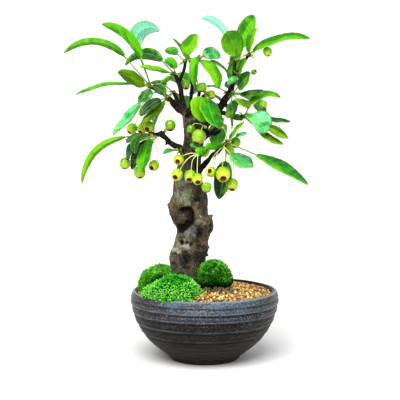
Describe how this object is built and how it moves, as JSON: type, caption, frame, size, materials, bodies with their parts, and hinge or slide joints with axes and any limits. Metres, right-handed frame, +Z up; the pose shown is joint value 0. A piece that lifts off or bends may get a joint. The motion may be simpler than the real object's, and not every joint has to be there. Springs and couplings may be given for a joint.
{
  "type": "potted bonsai tree",
  "caption": "Small crabapple bonsai with hanging unripe fruit, moss cushions and gravel, in a round ribbed stoneware pot.",
  "frame": {"origin": "centre of the flat underside of the pot's foot", "axes": "+Z up, the pictured front faces -Y, +X to the viewer's right"},
  "size_m": [0.1999, 0.1309, 0.2861],
  "materials": {
    "pot": "satin",
    "net": "matte",
    "soil": "matte",
    "gravel": "matte",
    "moss": "matte",
    "bark": "matte",
    "leaf_lime": "satin",
    "leaf_mid": "satin",
    "leaf_dark": "satin",
    "fruit": "satin"
  },
  "bodies": {
    "root": {"pot": "pot", "drain_net_1": "net", "drain_net_2": "net", "drain_net_3": "net", "soil": "soil", "tree_wood": "bark", "moss_right": "moss", "moss_left": "moss", "moss_front": "moss", "gravel": "gravel", "fruit_back_low_right": "fruit", "fruit_front": "fruit", "fruit_inner_left": "fruit", "fruit_leader": "fruit", "fruit_lower_front": "fruit", "fruit_lower_left": "fruit", "fruit_lower_right": "fruit", "fruit_lower_right_top": "fruit", "fruit_middle": "fruit", "fruit_outer_right": "fruit", "fruit_right_shoot": "fruit", "fruit_upper_left": "fruit", "fruit_upper_right": "fruit", "leaves_back_left": "leaf_dark", "leaves_back_low_left": "leaf_dark", "leaves_back_low_right": "leaf_mid", "leaves_back_right": "leaf_mid", "leaves_back_top": "leaf_mid", "leaves_front": "leaf_mid", "leaves_inner_left": "leaf_dark", "leaves_leader": "leaf_lime", "leaves_leader_tip": "leaf_lime", "leaves_limb_left": "leaf_mid", "leaves_lower_front": "leaf_mid", "leaves_lower_left": "leaf_mid", "leaves_lower_right": "leaf_mid", "leaves_middle": "leaf_mid", "leaves_outer_right": "leaf_mid", "leaves_right": "leaf_dark", "leaves_right_shoot": "leaf_lime", "leaves_top": "leaf_mid", "leaves_upper_left": "leaf_mid", "leaves_upper_right": "leaf_mid"}
  },
  "joints": []
}
